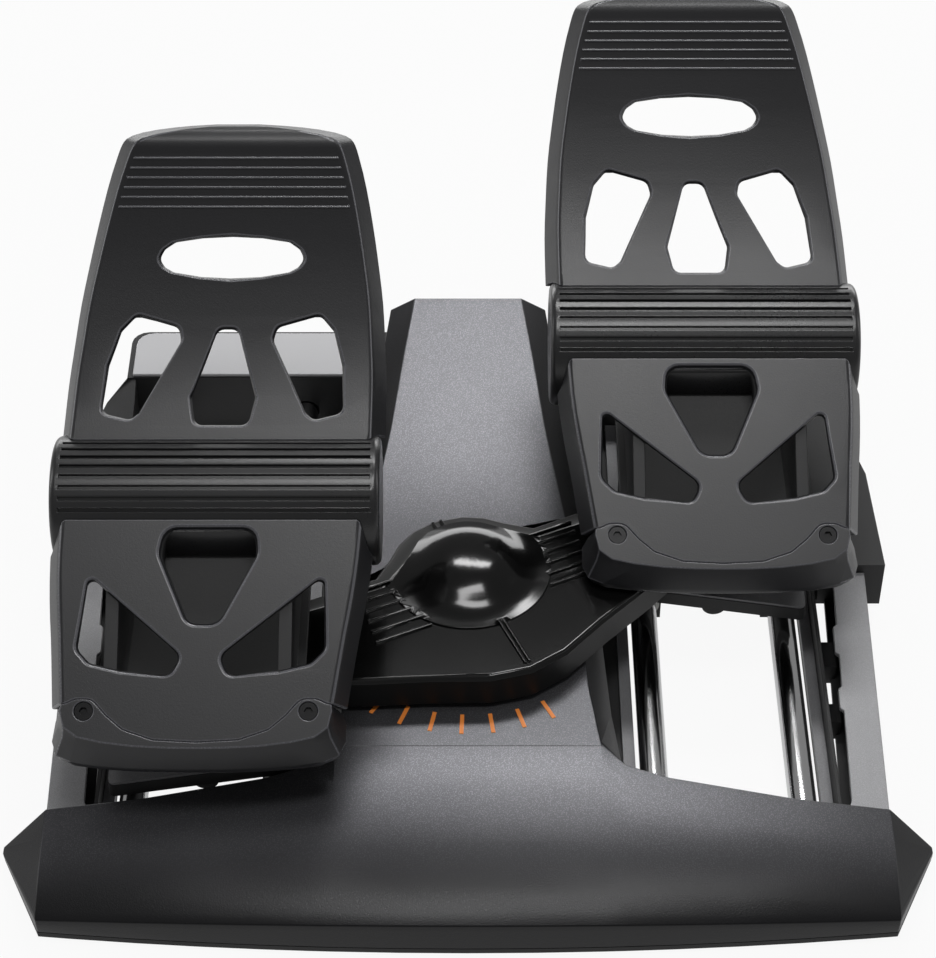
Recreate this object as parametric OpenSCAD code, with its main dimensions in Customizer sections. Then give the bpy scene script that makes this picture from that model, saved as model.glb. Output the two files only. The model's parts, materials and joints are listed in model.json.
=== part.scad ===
// Flight simulator rudder pedals, in millimetres.
// X runs to the right, Y away from the user and Z up. The rudder stands at its photographed deflection.

/* [Footprint] */
// Width across the two tips of the front lip
lip_w = 428; // [416:1:436]
// Reach of the front lip ahead of the rudder axis
lip_reach = 184.6; // [182:0.1:190]
// Reach of the rear wall behind the rudder axis
rear_reach = 194; // [190:1:200]
// Height of the deck under the rotor
deck_z = 41; // [40:0.5:42]
// Height of the spine at its rear end
spine_z = 68; // [62:0.5:74]
// Width of the spine's flat top at its rear end
spine_rear_w = 57; // [48:1:62]
// Height of the front wall of the lip at its middle
lip_front_z = 24; // [20:0.5:28]
// Wall of the plastic mouldings
wall = 2.5; // [2:0.1:3]
// Thickness of the bottom pan
pan_t = 3; // [2:0.1:4]
// Height of the rubber feet
foot_h = 3; // [2:0.1:5]

/* [Rails] */
// Distance between the two rails of one pedal
rail_pitch = 68; // [66:0.5:69]
// Diameter of a rail
rail_d = 13; // [11:0.1:13]
// Height of the rail centres
rail_z = 20; // [19:0.1:20.2]

/* [Rear housing] */
// Width of the rear housing at its rear corners
housing_w = 362; // [350:1:372]
// Height of the rear housing
housing_z = 44; // [43:0.5:44.5]
// Depth of the rear housing
housing_depth = 37; // [34:0.5:40]
// Thickness of the light rear panels
panel_t = 2; // [1.5:0.1:3]
// Bore of the cable gland
gland_d = 5.2; // [4:0.1:7]

/* [Rudder] */
// Rudder deflection to each side
swing = 24.5; // [20:0.5:25]
// Height of the rotor cover's skirt
rotor_h = 17; // [16:0.1:17.2]
// Radius of the rotor's dome
dome_r = 30; // [26:0.5:32]
// Height of the dome above the rotor's top
dome_h = 12; // [8:0.5:14]
// Diameter of the rotor shaft
shaft_d = 16; // [12:0.5:18]
// Diameter of the drive rollers
roller_d = 9; // [8:0.1:10]

/* [Pedals] */
// Height of the heel screws above the floor
heel_z = 88; // [87:0.5:92]
// Distance of the heel screws in front of the drive pin
heel_reach = 59.3; // [56:0.1:62]
// Greatest width of a pedal
pedal_w = 151; // [146:1:152]
// Length of the lower plate, from the heel screws to the hinge barrel
lower_len = 89; // [86:0.5:92]
// Slope of the lower plate
lower_slope = 32; // [30:0.5:34]
// Length of the upper pedal along its face
upper_len = 146; // [140:1:152]
// Slope at the foot of the upper pedal
foot_slope = 30; // [28:1:34]
// Slope at the top of the upper pedal
top_slope = 60; // [54:1:64]
// Depth of the pedals' side flanges
flange = 18; // [14:0.5:19]
// Radius of the hinge barrel
barrel_r = 30; // [28:0.5:30.5]
// Diameter of the hinge shaft
hinge_d = 10; // [8:0.5:12]

/* [Hidden] */

// clearances and the overrun of every cut
fit = 0.05;
run = 0.05;
gap = 0.6;
over = 2;
fine = 96;
plain = 32;

// the footprint: everything stands on the feet and the pan
pan_z = foot_h + pan_t;
right_side = 1;
left_side = -1;
sides = [right_side, left_side];

// the lanes of the rails follow the width of the lip
tip_out = 20.5;
crease_x = lip_w / 2 - tip_out;
lane = 72.5;
pedal_x = crease_x - lane;
travel = pedal_x * tan(swing);
rail_r = rail_d / 2;
rail_offsets = [-rail_pitch / 2, rail_pitch / 2];
rail_front = lip_reach * 0.737;
rail_block_gap = 18;
rail_rear = rear_reach - wall - rail_block_gap;

// the lip: its plan and height go by shares of its half width and reach
lip_bow = 9.2;
corner_z = 16;
tip_y = 131;
tip_half = 1.5;
tip_z = 10;
lip_edge = 4;
lip_draft = 0.8;
lip_stations_shares = [0, 0.16, 0.317, 0.375, 0.478, 0.63, 0.775, 0.93, 1];
lip_rear_shares = [[0, 0.495], [0.317, 0.495], [0.375, 0.566], [0.478, 0.6], [0.775, 0.65], [1, 0.658]];
lip_height_shares = [[0, 1], [0.317, 1], [0.375, 0.955], [0.478, 0.915], [0.775, 0.82], [1, 0.68]];
roof_shares = [[1, 1], [0.7, 0.95], [0.4, 0.72], [0.18, 0.4], [0.06, 0.16], [0, 0]];

// the ground between spine and panel: tray strips, slotted side rails and panels
tray_h = 4;
tray_inner_w = 5.6;
tray_inner_room = 13.1;
tray_inner_in = pedal_x - rail_pitch / 2 - tray_inner_room;
tray_outer_w = 5.4;
tray_outer_room = 10.6;
tray_outer_in = pedal_x + rail_pitch / 2 + tray_outer_room;
channel_w = 2;
channel_h = 16;
channel_out = tray_outer_in + tray_outer_w + channel_w;
slot_front_w = 2;
slot_rear_w = 7.5;
panel_front_in = channel_out + slot_front_w;
panel_rear_in = channel_out + slot_rear_w;
panel_z = 26;
notch = 1.8;
gusset_h = 9;

// the spine: half widths as shares of its narrowing, along its length
spine_front = lip_reach * 0.515;
spine_rise = 60;
spine_stations_shares = [0, 0.12, 0.33, 0.5, 0.71, 0.87, 1];
spine_width_shares = [[0, 1], [0.12, 0.86], [0.33, 0.73], [0.5, 0.63], [0.71, 0.34], [0.87, 0.16], [1, 0]];
bevel_out = 11;
spine_margin = 1;
spine_front_half = tray_inner_in - bevel_out - spine_margin;
spine_rear_half = spine_rear_w / 2;
bevel_rear_out = 13;
bevel_front_drop = 20;
bevel_rear_drop = 8;

// the rear housing and its cheeks
housing_half = housing_w / 2;
housing_front = rear_reach - housing_depth;
housing_corner = 9;
cheek_front = 31;
cheek_z = 31;
cheek_out = 15;
cheek_room = 17;
cheek_half = crease_x + cheek_out;
cheek_in = crease_x - cheek_room;
cheek_shares = [[0, 1, 0], [0.5, 0.986, 0.14], [0.88, 0.916, 0.55], [1, 0.865, 0.95]];
hollow_shares = [for (i = [0 : 2]) cheek_shares[i]];
panel_margin = 3;

// the rotor: outline points as shares of its reach, front centre first
rotor_out = 22;
rotor_r = pedal_x + rotor_out;
rotor_lift = 3;
rotor_z = deck_z + rotor_lift;
rotor_top = rotor_z + rotor_h;
collar_r = 40;
skirt_draft = 0.8;
rotor_edge = 3.5;
rotor_shares = [[0.14, -0.486], [0.321, -0.406], [0.518, -0.33], [0.73, -0.235], [0.91, -0.14],
    [0.982, -0.09], [1, 0], [0.985, 0.075], [0.95, 0.112], [0.78, 0.112], [0.49, 0.105], [0.305, 0.103]];
collar_angles = [38, 54, 70];
pin_r = 3;
roller_r = roller_d / 2;
slot_play = 1.5;
arm_t = 8;
arm_lift = 2;
arm_z = rotor_z + arm_lift;
slot_spare = 2.2;
slot_in = pedal_x - roller_r - slot_spare;
slot_out = pedal_x / cos(swing) + slot_play;
shaft_r = shaft_d / 2;

// the carriage, about its drive pin
carriage_z = 31;
carriage_drop = 1;
carriage_top = deck_z - carriage_drop;
plate_t = 1.5;
bush_wall = 1.7;
bush_len = 20;
bush_y = 31;
block_wall = 2.5;
block_half = rail_r + block_wall;

// the pedal: plate stations along its face
lean_share = 0.053;
pedal_half = pedal_w / 2;
heel_screw_in = 25.5;
heel_span = pedal_w - 2 * heel_screw_in;
draft = 7;
hinge_angle = 31;
foot_angle = 112;
lower_width_shares = [[-0.2, 0.87], [0, 0.88], [0.16, 0.9], [0.36, 0.925], [0.56, 0.955], [0.76, 0.975],
    [1, 0.985]];
upper_width_shares = [[0, 1], [0.2, 0.987], [0.32, 0.967], [0.45, 0.94], [0.57, 0.9], [0.69, 0.854],
    [0.82, 0.795], [0.92, 0.735], [0.945, 0.712], [0.955, 0.695], [0.965, 0.66], [0.975, 0.595],
    [0.984, 0.5], [0.991, 0.39], [0.996, 0.28], [1, 0.15]];
upper_drop_shares = [[0, 0], [0.93, 0], [0.945, 0.01], [0.955, 0.03], [0.965, 0.06], [0.975, 0.11],
    [0.984, 0.17], [0.991, 0.24], [0.996, 0.31], [1, 0.4]];
upper_depth_shares = [[0, 1], [0.5, 0.86], [1, 0.62]];
hinge_y = -heel_reach + lower_len * cos(lower_slope) + barrel_r * cos(hinge_angle);
hinge_z = heel_z + lower_len * sin(lower_slope) - barrel_r * sin(hinge_angle);
foot_angle_span = foot_angle - hinge_angle;
hinge_l = lower_len + barrel_r * foot_angle_span * PI / 180 / 2;
upper_l = lower_len + barrel_r * foot_angle_span * PI / 180;
upper_r = upper_len * 180 / PI / (top_slope - foot_slope);
foot_y = hinge_y - barrel_r * cos(foot_angle);
foot_z = hinge_z + barrel_r * sin(foot_angle);
hinge_r = hinge_d / 2;
support_lift = 2.4;
heel_lift = 1.8;
support_z = rotor_top + support_lift;
heel_floor = rotor_top + heel_lift;

// the middle of the whole part, from the lip to the farther of gland and pedal top
gland_proud = 1;
pedal_reach = travel + upper_point(0, upper_len, -upper_depth(1)).y;
mid_y = (max(pedal_reach, rear_reach + gland_proud) - lip_reach) / 2;

// Moves to the packed origin, under the middle of the part
module placed() {
    translate([0, -mid_y, 0]) children();
}

// One side: built outward of the drive pin of the right pedal, mirrored for the left
module at_pedal(side) {
    translate([side * pedal_x, side * travel - mid_y, 0])
        if (side < 0) mirror([1, 0, 0]) children();
        else children();
}

// Closed body through rings of points that run counter-clockwise seen from its far end
module loft(rings) {
    n = len(rings[0]);
    m = len(rings);
    sides_faces = [for (i = [0 : m - 2], j = [0 : n - 1]) each
        [[i * n + j, (i + 1) * n + j, (i + 1) * n + (j + 1) % n],
         [i * n + j, (i + 1) * n + (j + 1) % n, i * n + (j + 1) % n]]];
    near = [[for (j = [0 : n - 1]) j]];
    far = [[for (j = [n - 1 : -1 : 0]) (m - 1) * n + j]];
    polyhedron([for (ring = rings) each ring], concat(near, sides_faces, far), convexity = 8);
}

// Smooth value at x through a table of places and values
function steady(x, t) =
    let (n = len(t), i = max([for (k = [0 : n - 2]) t[k][0] <= x ? k : 0]))
    let (a = t[max(i - 1, 0)], b = t[i], c = t[i + 1], d = t[min(i + 2, n - 1)], h = c[0] - b[0])
    let (u = min(max((x - b[0]) / h, 0), 1), m = (c[1] - a[1]) / (c[0] - a[0]) * h)
    let (q = (d[1] - b[1]) / (d[0] - b[0]) * h)
    (1 + 2 * u) * pow(1 - u, 2) * b[1] + u * pow(1 - u, 2) * m
        + u * u * (3 - 2 * u) * c[1] + u * u * (u - 1) * q;

// Outline with its corners rounded to radius r by arcs of a few points
function unit(v) = v / norm(v);
function corner(p, a, b, r) =
    let (u = unit(a - p), v = unit(b - p), half = acos(u * v) / 2)
    let (reach = min(r / tan(half), norm(a - p) * 0.48, norm(b - p) * 0.48), rr = reach * tan(half))
    let (c = p + unit(u + v) * rr / sin(half), s = p + u * reach, e = p + v * reach)
    let (w = atan2(s.y - c.y, s.x - c.x), turn = atan2(cross(s - c, e - c), (s - c) * (e - c)))
    [for (k = [0 : 4]) c + rr * [cos(w + turn * k / 4), sin(w + turn * k / 4)]];
function rounded(points, r) = let (n = len(points))
    [for (i = [0 : n - 1]) each corner(points[i], points[(i + n - 1) % n], points[(i + 1) % n], r)];
function mirrored(points) = [for (i = [len(points) - 1 : -1 : 0]) [-points[i].x, points[i].y]];

// Lip surface
function lip_share(x) = min(abs(x) / crease_x, 1);
function lip_front(x) = -lip_reach + lip_bow * pow(lip_share(x), 2);
function lip_rear(x) = -lip_reach * lookup(lip_share(x), lip_rear_shares);
function lip_top(x) = deck_z * lookup(lip_share(x), lip_height_shares);
function lip_foot(x) = lip_front_z - (lip_front_z - corner_z) * pow(lip_share(x), 2);
function lip_ring(x, front, rear, foot, top, base) = concat(
    [[x, front + lip_draft, base], [x, rear, base]],
    [for (s = roof_shares) [x, front + s[0] * (rear - front), foot + s[1] * (top - foot)]],
    [[x, front, foot - lip_edge]]);
function lip_body(inset, base) = [for (i = [-len(lip_stations_shares) + 1 : len(lip_stations_shares) - 1])
    let (x = sign(i) * lip_stations_shares[abs(i)] * (crease_x - inset))
    lip_ring(x, lip_front(x) + inset, lip_rear(x) - inset, lip_foot(x) - inset,
        lip_top(x) - inset, base)];
function lip_tip(side, base) = lip_ring(side * lip_w / 2, -tip_y - tip_half,
    -tip_y + tip_half, tip_z, tip_z, base);

// Spine surface
function spine_y(share) = -spine_front + share * (rear_reach + spine_front);
function spine_half(share) = spine_rear_half
    + (spine_front_half - spine_rear_half) * lookup(share, spine_width_shares);
function spine_height(y) = deck_z + (spine_z - deck_z) * max(0, y - spine_rise) / (rear_reach - spine_rise);
function spine_ring(share, inset, base, shift) =
    let (y = spine_y(share) + shift, half = spine_half(share) - inset / 2, top = spine_height(y) - inset)
    let (foot = half + bevel_out + (bevel_rear_out - bevel_out) * share)
    let (low = top - bevel_front_drop + (bevel_front_drop - bevel_rear_drop) * share)
    [[foot, y, base], [-foot, y, base], [-foot, y, low], [-half, y, top], [half, y, top], [foot, y, low]];

module spine_loft(inset, base, rear_shift) {
    loft([for (s = spine_stations_shares)
        spine_ring(s, inset, base, s == 1 ? rear_shift : 0)]);
}

// The screws that hold the mouldings to the pan, as places on the right half
screw_r = 1.7;
screw_head_r = 3.4;
screw_head_h = 1.8;
screw_len = 12;
boss_r = 4.5;
cover_screws = [[lip_reach * 0.22, -lip_reach * 0.8], [lip_reach * 0.76, -lip_reach * 0.8],
    [spine_rear_half * 0.8, rear_reach * 0.24], [spine_rear_half * 0.8, rear_reach * 0.73]];
cheek_screw = [12, 20];
housing_screws = [[housing_half * 0.55, rear_reach - wall - boss_r - gap],
    [cheek_in + cheek_screw.x, cheek_front + cheek_screw.y]];

module at_screws(places) {
    for (p = places, side = sides) translate([side * p.x, p.y, 0]) children();
}

module screw_bosses(places) {
    at_screws(places) translate([0, 0, -over]) cylinder(r = boss_r, h = spine_z, $fn = plain);
}

module screw_holes(places) {
    at_screws(places) cylinder(r = screw_r + fit, h = foot_h + screw_len + over, $fn = plain);
}

module rails_at(grow, from, to) {
    for (side = sides, dx = rail_offsets)
        translate([side * (pedal_x + dx), from, rail_z])
            rotate([-90, 0, 0]) cylinder(r = rail_r + grow, h = to - from, $fn = fine);
}

module top_cover() {
    hub_hole = shaft_r + bearing_wall + bearing_seat;
    color([0.2, 0.2, 0.21]) placed() {
        difference() {
            union() {
                loft(concat([lip_tip(-1, pan_z)], lip_body(0, pan_z), [lip_tip(1, pan_z)]));
                spine_loft(0, pan_z, 0);
            }
            difference() {
                union() {
                    loft(lip_body(wall, pan_z - over));
                    spine_loft(wall, pan_z - over, -wall);
                }
                screw_bosses(cover_screws);
            }
            screw_holes(cover_screws);
            translate([-rear_reach / 2, housing_front - fit, -over])
                cube([rear_reach, housing_depth + over, housing_z + fit + over]);
            cylinder(r = hub_hole, h = spine_z, $fn = fine);
            rails_at(gap, -rail_front, 0);
        }
    }
}

// Plan of the bottom pan and of the windows through it
function pan_half() = concat(
    [for (s = lip_stations_shares) [s * crease_x, lip_front(s * crease_x) + lip_draft]],
    [[lip_w / 2, -tip_y - tip_half + lip_draft], [lip_w / 2, -tip_y + tip_half]],
    [[crease_x, lip_rear(crease_x)]],
    [panel_outer(cheek_front)],
    [for (s = cheek_shares) [cheek_half * s[1], cheek_front + s[0] * (housing_front - cheek_front)]],
    [[housing_half, rear_reach - housing_corner], [housing_half - housing_corner, rear_reach]]);
function panel_outer(y) = [crease_x + (y + lip_reach * 0.658) * panel_flare_share, y];
panel_flare_share = 0.033;
function panel_inner(y) = panel_front_in + (panel_rear_in - panel_front_in)
    * (y + lip_reach * 0.62) / (cheek_front + lip_reach * 0.62);

window_in = tray_inner_in + tray_inner_w;
window_out = tray_outer_in;
window_front = lip_reach * 0.67;
window_margin = 3;
window_rear = housing_front - window_margin;

module rail_windows() {
    for (side = sides) {
        x0 = side > 0 ? window_in : -window_out;
        translate([x0, -window_front, -over])
            cube([window_out - window_in, window_front + window_rear, deck_z]);
    }
}

// Open stretches between a side rail and its panel, between the gussets
side_span = cheek_front + lip_reach * 0.64;
function side_y(share) = cheek_front - share * side_span;
slot_stretches = [[side_y(0), side_y(0.25)], [side_y(0.36), side_y(0.52)], [side_y(0.6), side_y(0.99)]];

module side_slots(grow) {
    for (side = sides, s = slot_stretches)
        linear_extrude(deck_z) polygon([for (p = [[channel_out, s[1]],
            [panel_inner(s[1]) + grow, s[1]], [panel_inner(s[0]) + grow, s[0]],
            [channel_out, s[0]]]) [side * p.x, p.y]]);
}

module base_pan() {
    half = pan_half();
    color([0.09, 0.09, 0.1]) placed() {
        difference() {
            translate([0, 0, foot_h]) linear_extrude(pan_t)
                polygon(concat(half, mirrored(half)));
            rail_windows();
            side_slots(0);
            at_screws(concat(cover_screws, housing_screws)) {
                cylinder(r = screw_r + fit, h = deck_z, $fn = plain);
                cylinder(r = screw_head_r + fit, h = foot_h + screw_head_h, $fn = plain);
            }
        }
    }
}

// A strip of the tray between the lip and the housing
function strip(x0, x1) = [[x0, lip_rear(x0) + gap], [x1, lip_rear(x1) + gap],
    [x1, housing_front - gap], [x0, housing_front - gap]];

module rail_trays() {
    color([0.5, 0.5, 0.52]) placed()
        for (side = sides, x = [[tray_inner_in, tray_inner_w], [tray_outer_in, tray_outer_w]])
            translate([0, 0, pan_z]) linear_extrude(tray_h)
                polygon([for (p = strip(x[0], x[0] + x[1])) [side * p.x, p.y]]);
}

module side_rail(side) {
    in = tray_outer_in + tray_outer_w + fit;
    out = in + channel_w - fit;
    color([0.07, 0.07, 0.08]) placed() translate([0, 0, pan_z]) {
        linear_extrude(channel_h)
            polygon([for (p = [[in, lip_rear(in) + gap], [out, lip_rear(out) + gap],
                [out, cheek_front - gap], [in, cheek_front - gap]]) [side * p.x, p.y]]);
        for (g = [[slot_stretches[0][1], slot_stretches[1][0]],
            [slot_stretches[1][1], slot_stretches[2][0]]])
            linear_extrude(gusset_h)
                polygon([for (p = [[out, g[0]], [panel_inner(g[0]) + channel_w, g[0]],
                    [panel_inner(g[1]) + channel_w, g[1]], [out, g[1]]]) [side * p.x, p.y]]);
    }
}

// Plan of a side panel with its notched inner edge
function panel_plan() =
    let (front = lip_rear(crease_x) + gap, back = cheek_front - fit)
    let (inner = [for (s = slot_stretches) each
        [[panel_inner(s[0]), s[0]], [panel_inner(s[0]) + notch, s[0] - notch],
         [panel_inner(s[1]) + notch, s[1] + notch], [panel_inner(s[1]), s[1]]]])
    concat([[panel_outer(front).x, front], panel_outer(back), [panel_inner(back), back]],
        [for (i = [1 : len(inner) - 2]) inner[i]], [[panel_inner(front), front]]);

module side_panel(side) {
    front = lip_rear(crease_x) + gap;
    back = cheek_front - fit;
    color([0.62, 0.62, 0.64]) placed() {
        translate([0, 0, panel_z - wall]) linear_extrude(wall)
            polygon([for (p = panel_plan()) [side * p.x, p.y]]);
        translate([0, 0, pan_z]) linear_extrude(panel_z - pan_z)
            polygon([for (p = [[panel_outer(front).x - wall, front], [panel_outer(front).x, front],
                panel_outer(back), [panel_outer(back).x - wall, back]]) [side * p.x, p.y]]);
    }
}

// Forward cheek of the rear housing: its plan and its side view, cut from each other
function cheek_y(share) = cheek_front + share * (housing_front + over - cheek_front);
function cheek_plan(stations, inset) = concat(
    [[cheek_in + inset, cheek_y(stations[0][0]) + inset]],
    [for (s = stations) [cheek_half * s[1] - inset, cheek_y(s[0]) + (s[0] == 0 ? inset : 0)]],
    [[cheek_in + inset, cheek_y(stations[len(stations) - 1][0])]]);
function cheek_view(stations, inset, base) = concat(
    [[cheek_y(stations[0][0]) + inset, base]],
    [for (s = stations) [cheek_y(s[0]) + (s[0] == 0 ? inset : 0),
        cheek_z + s[2] * (housing_z - cheek_z) - inset]],
    [[cheek_y(stations[len(stations) - 1][0]), base]]);

module cheek(side, stations, inset, base) {
    intersection() {
        linear_extrude(housing_z) polygon([for (p = cheek_plan(stations, inset)) [side * p.x, p.y]]);
        rotate([90, 0, 90]) translate([0, 0, -housing_w])
            linear_extrude(2 * housing_w) polygon(cheek_view(stations, inset, base));
    }
}

module housing_plan(inset) {
    half = housing_half - inset;
    back = rear_reach - inset;
    soft = max(housing_corner - inset, over);
    front = housing_front + inset;
    polygon([[half, front], each corner([half, back], [half, front], [0, back], soft),
        each corner([-half, back], [0, back], [-half, front], soft), [-half, front]]);
}

module rear_housing() {
    color([0.08, 0.08, 0.09]) placed() {
        difference() {
            union() {
                translate([0, 0, pan_z]) linear_extrude(housing_z - pan_z) housing_plan(0);
                for (side = sides) cheek(side, cheek_shares, 0, pan_z);
            }
            difference() {
                union() {
                    translate([0, 0, pan_z - over])
                        linear_extrude(housing_z - wall - pan_z + over) housing_plan(wall);
                    for (side = sides) cheek(side, hollow_shares, wall, pan_z - over);
                }
                screw_bosses(housing_screws);
            }
            screw_holes(housing_screws);
            rails_at(gap, housing_front - over, housing_front + wall + over);
            translate([0, rear_reach - wall - over, rail_z]) rotate([-90, 0, 0])
                cylinder(r = gland_r + fit, h = wall + 2 * over, $fn = fine);
        }
    }
}

module rear_panel(side) {
    in = spine_half((housing_front + spine_front) / (rear_reach + spine_front)) + bevel_rear_out + gap;
    out = housing_half - panel_margin;
    front = housing_front + gap;
    back = rear_reach - panel_margin;
    color([0.7, 0.7, 0.72]) placed()
        translate([0, 0, housing_z]) linear_extrude(panel_t)
            polygon([for (p = concat([[in, front], [out, front]],
                corner([out, back], [out, front], [in, back], housing_corner), [[in, back]]))
                [side * p.x, p.y]]);
}

module rail(side, dx) {
    color([0.8, 0.8, 0.82]) placed()
        translate([side * (pedal_x + dx), -rail_front, rail_z])
            rotate([-90, 0, 0]) cylinder(r = rail_r, h = rail_front + rail_rear, $fn = fine);
}

// Blocks that hold the ends of the rails, seated on the pan
block_len = 12;
block_roof = 2;
block_top = rail_r + block_roof;

module rail_block(x, y) {
    difference() {
        translate([x - block_half, y, pan_z])
            cube([2 * block_half, block_len, rail_z + block_top - pan_z]);
        translate([x, y - over, rail_z]) rotate([-90, 0, 0])
            cylinder(r = rail_r + fit, h = block_len + 2 * over, $fn = fine);
    }
}

module rail_blocks(y) {
    color([0.12, 0.12, 0.13]) placed()
        for (side = sides, dx = rail_offsets) rail_block(side * (pedal_x + dx), y);
}

foot_r = 11;
foot_places = [[lip_w * 0.4, -lip_reach * 0.83], [lip_w * 0.1, -lip_reach * 0.86],
    [housing_half * 0.85, rear_reach - foot_r - wall - gap],
    [spine_rear_half, rear_reach - foot_r - wall - gap]];

module rubber_feet() {
    color([0.04, 0.04, 0.04]) placed()
        at_screws(foot_places) cylinder(r = foot_r, h = foot_h, $fn = plain * 2);
}

module base_screws() {
    socket_r = 1.2;
    color([0.3, 0.3, 0.32]) placed()
        at_screws(concat(cover_screws, housing_screws)) difference() {
            union() {
                translate([0, 0, foot_h]) cylinder(r = screw_head_r, h = screw_head_h, $fn = plain);
                translate([0, 0, foot_h]) cylinder(r = screw_r, h = screw_len, $fn = plain);
            }
            translate([0, 0, foot_h - over]) cylinder(r = socket_r, h = over + screw_head_h / 2, $fn = 6);
        }
}

// Control board on posts inside the spine
board_w = 44;
board_len = 56;
board_y = rear_reach * 0.36;
board_t = 1.6;
board_lift = 6;

module control_board() {
    chip = board_w / 4;
    color([0.1, 0.35, 0.16]) placed() {
        translate([-board_w / 2, board_y, pan_z + board_lift]) cube([board_w, board_len, board_t]);
        translate([-chip / 2, board_y + board_len / 2, pan_z + board_lift + board_t])
            cube([chip, chip, board_t]);
        for (x = [-1, 1], y = [-1, 1])
            translate([x * (board_w / 2 - board_lift),
                board_y + board_len / 2 + y * (board_len / 2 - board_lift), pan_z])
                cylinder(r = board_lift / 2, h = board_lift, $fn = plain);
    }
}

// Grommet for the cable in the middle of the rear wall
gland_flange = 2;
gland_r = gland_d / 2 + gland_flange;

module cable_gland() {
    color([0.05, 0.05, 0.05]) placed()
        translate([0, rear_reach, rail_z]) rotate([-90, 0, 0]) difference() {
            union() {
                cylinder(r = gland_r + gland_flange, h = gland_proud, $fn = fine);
                translate([0, 0, -wall - gland_flange])
                    cylinder(r = gland_r, h = wall + gland_flange, $fn = fine);
                translate([0, 0, -wall - gland_flange - fit])
                    cylinder(r = gland_r + gland_flange, h = gland_flange, $fn = fine);
            }
            translate([0, 0, -wall - gland_flange - over])
                cylinder(r = gland_d / 2, h = wall + gland_flange * 2 + 2 * over, $fn = fine);
        }
}

// Bearing tower of the rotor, with the angle sensor under the shaft
bearing_wall = 5;
bearing_h = 26;
sensor_gap = 4;
bearing_seat = 1;
magnet_seat = 2.5;

module rotor_bearing() {
    color([0.15, 0.15, 0.16]) placed() translate([0, 0, pan_z]) difference() {
        union() {
            cylinder(r = shaft_r + bearing_wall, h = bearing_h, $fn = fine);
            cylinder(r = shaft_r + 3 * bearing_wall, h = bearing_wall, $fn = fine);
        }
        translate([0, 0, sensor_gap]) cylinder(r = shaft_r + run, h = bearing_h + over, $fn = fine);
        translate([0, 0, -over]) cylinder(r = shaft_r - bearing_seat, h = bearing_h + over, $fn = fine);
    }
}

module rudder_sensor() {
    chip_r = shaft_r / 2;
    color([0.1, 0.3, 0.15]) placed() translate([0, 0, pan_z])
        cylinder(r = chip_r, h = board_t, $fn = plain);
}

// Graduation ticks around the rotor on the deck
tick_r = 82;
tick_len = 11.6;
tick_w = 1.9;
tick_h = 0.3;
tick_angle = 9.75;
tick_first_angle = -2;
tick_count = 3;

module tick_marks() {
    color([0.9, 0.42, 0.1]) placed()
        for (i = [-tick_count : tick_count]) rotate([0, 0, tick_first_angle + i * tick_angle])
            translate([-tick_w / 2, -tick_r - tick_len / 2, deck_z]) cube([tick_w, tick_len, tick_h]);
}

// Rotor: outline drawn in by a radial inset
function rotor_outline() = let (
    half = concat([for (s = rotor_shares) s * rotor_r],
        [for (a = collar_angles) collar_r * [cos(a), sin(a)]]))
    concat([[0, -rotor_r * 0.511]], half, [[0, collar_r]], mirrored(half));
function drawn_in(points, inset) = [for (p = points) p * (1 - inset / norm(p))];
function ring_at(points, z) = [for (p = points) [p.x, p.y, z]];

module rotated() {
    placed() rotate([0, 0, swing]) children();
}

// Ring of the rotor: the rear edge steps in over a ledge, the front edge stands on
ledge_h = 3;
ledge_in = 6.5;
ledge_r = 8;
function behind(p) = p.y > collar_r * 0.1;
function stepped(p, inset) = !behind(p) ? p * (1 - inset / norm(p))
    : norm(p) < collar_r * 1.02 ? p * (1 - (ledge_r + inset) / norm(p))
    : [p.x * (1 - inset / norm(p)), p.y - ledge_in - inset];
function rotor_ring(points, z, rear_z) = [for (p = points) [p.x, p.y, behind(p) ? rear_z : z]];

dome_shares = [[0, 1], [0.12, 0.99], [0.27, 0.962], [0.4, 0.91], [0.5, 0.85], [0.6, 0.765], [0.7, 0.66],
    [0.79, 0.545], [0.87, 0.43], [0.94, 0.335], [1, 0.27], [1.07, 0.205], [1.15, 0.15], [1.24, 0.105],
    [1.34, 0.07]];
dome_seat = 0.4;
rib_w = 1.4;
rib_h = 1.2;
rib_pitch = 6.8;
rib_first = -27.5;
rib_in = 31;
rib_len = 29;
rotor_rib_count = 6;
edge_seat = 1.2;

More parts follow.
